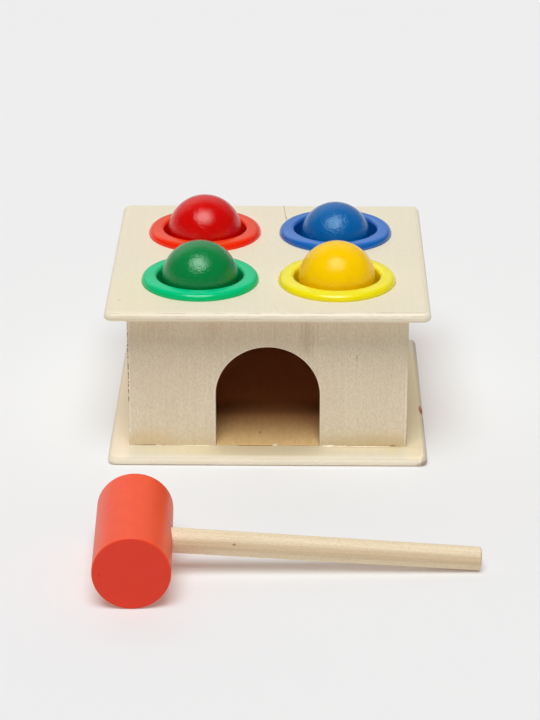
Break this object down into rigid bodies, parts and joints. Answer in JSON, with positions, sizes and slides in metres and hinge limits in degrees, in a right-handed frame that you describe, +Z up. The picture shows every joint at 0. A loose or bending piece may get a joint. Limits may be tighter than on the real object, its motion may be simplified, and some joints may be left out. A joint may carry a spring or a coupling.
{
  "type": "pounding bench toy",
  "caption": "Plywood pounding bench for a small child: painted balls sit in soft rings in the top board, a mallet knocks them onto a ramp and out of a doorway.",
  "frame": {"origin": "on the table, under the middle of the box and of the top board", "axes": "+Z up, +X to the right seen from the doorway side, +Y from the doorway to the back"},
  "size_m": [0.1675, 0.2848, 0.0964],
  "materials": {
    "birch_board": "clear matte lacquer",
    "birch_panel": "clear matte lacquer",
    "birch_ramp": "bare",
    "green_plastic": "glossy",
    "yellow_plastic": "glossy",
    "red_plastic": "glossy",
    "blue_plastic": "glossy",
    "green_paint": "satin paint",
    "yellow_paint": "satin paint",
    "red_paint": "satin paint",
    "blue_paint": "satin paint",
    "coral_paint": "satin paint",
    "bare_dowel": "clear matte lacquer"
  },
  "bodies": {
    "bench": {"base_board": "birch_board", "top_board": "birch_board", "front_panel": "birch_panel", "back_panel": "birch_panel", "left_side_panel": "birch_panel", "right_side_panel": "birch_panel", "ramp_board": "birch_ramp", "ring_green": "green_plastic", "ring_yellow": "yellow_plastic", "ring_red": "red_plastic", "ring_blue": "blue_plastic"},
    "ball_green": {"ball_green": "green_paint"},
    "ball_yellow": {"ball_yellow": "yellow_paint"},
    "ball_red": {"ball_red": "red_paint"},
    "ball_blue": {"ball_blue": "blue_paint"},
    "mallet": {"mallet_head": "coral_paint", "mallet_handle": "bare_dowel"}
  },
  "joints": [
    {"name": "ball_green_slide", "type": "slide", "parent": "bench", "child": "ball_green", "axis": [0, 0, 1], "range_m": [-0.0499, 0.03], "deforming": ["ring_green"]},
    {"name": "ball_yellow_slide", "type": "slide", "parent": "bench", "child": "ball_yellow", "axis": [0, 0, 1], "range_m": [-0.0499, 0.03], "deforming": ["ring_yellow"]},
    {"name": "ball_red_slide", "type": "slide", "parent": "bench", "child": "ball_red", "axis": [0, 0, 1], "range_m": [-0.0401, 0.03], "deforming": ["ring_red"]},
    {"name": "ball_blue_slide", "type": "slide", "parent": "bench", "child": "ball_blue", "axis": [0, 0, 1], "range_m": [-0.0387, 0.03], "deforming": ["ring_blue"]},
    {"name": "mallet_lift", "type": "slide", "parent": "bench", "child": "mallet", "axis": [0, 0, 1], "range_m": [0, 0.12]}
  ]
}
